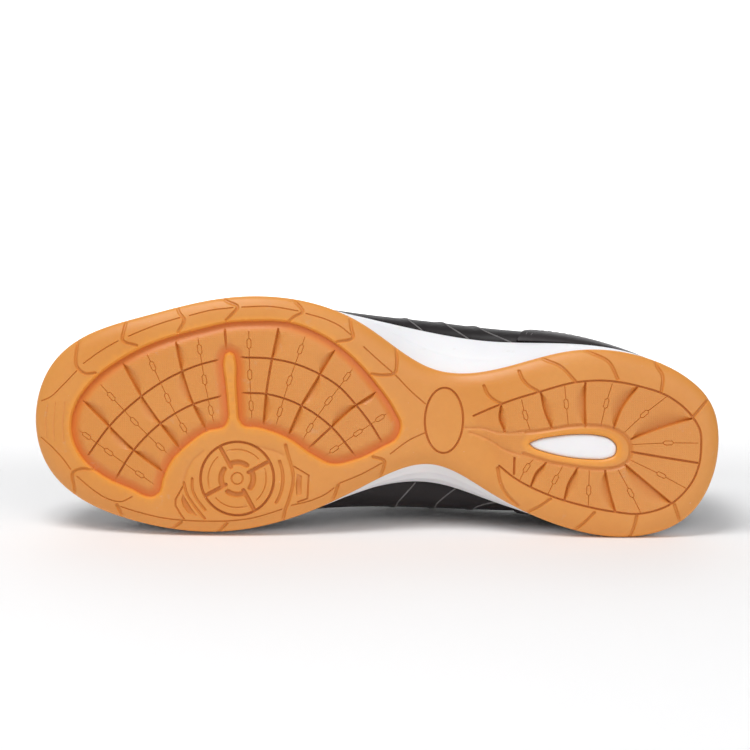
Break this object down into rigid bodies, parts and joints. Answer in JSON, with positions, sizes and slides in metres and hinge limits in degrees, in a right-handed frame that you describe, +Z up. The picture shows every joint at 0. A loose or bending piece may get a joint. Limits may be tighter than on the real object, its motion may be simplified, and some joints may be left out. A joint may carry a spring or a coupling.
{
  "type": "indoor soccer shoe",
  "caption": "Low indoor soccer shoe for the left foot, lying on its inner side: gum rubber cup sole, white foam midsole, lasted hollow upper with laced throat",
  "frame": {"origin": "middle of the floor patch under the shoe as it lies on its inner side", "axes": "+X towards the heel along the sole, -Y out of the sole's underside, +Z up"},
  "size_m": [0.2938, 0.1136, 0.1016],
  "materials": {
    "gum_rubber": "satin gum rubber, moulded",
    "white_foam": "matt moulded foam",
    "sock_cloth": "cloth-covered foam",
    "black_leather": "fine-grained black leather, low sheen",
    "tongue_cloth": "padded black mesh cloth",
    "overlay_leather": "smooth black leather, low sheen",
    "lace_cloth": "woven black lace"
  },
  "bodies": {
    "root": {"outsole": "gum_rubber", "midsole": "white_foam", "insole": "sock_cloth", "upper": "black_leather", "tongue": "tongue_cloth", "eyestay": "overlay_leather", "heel_counter": "overlay_leather", "lace": "lace_cloth"}
  },
  "joints": []
}
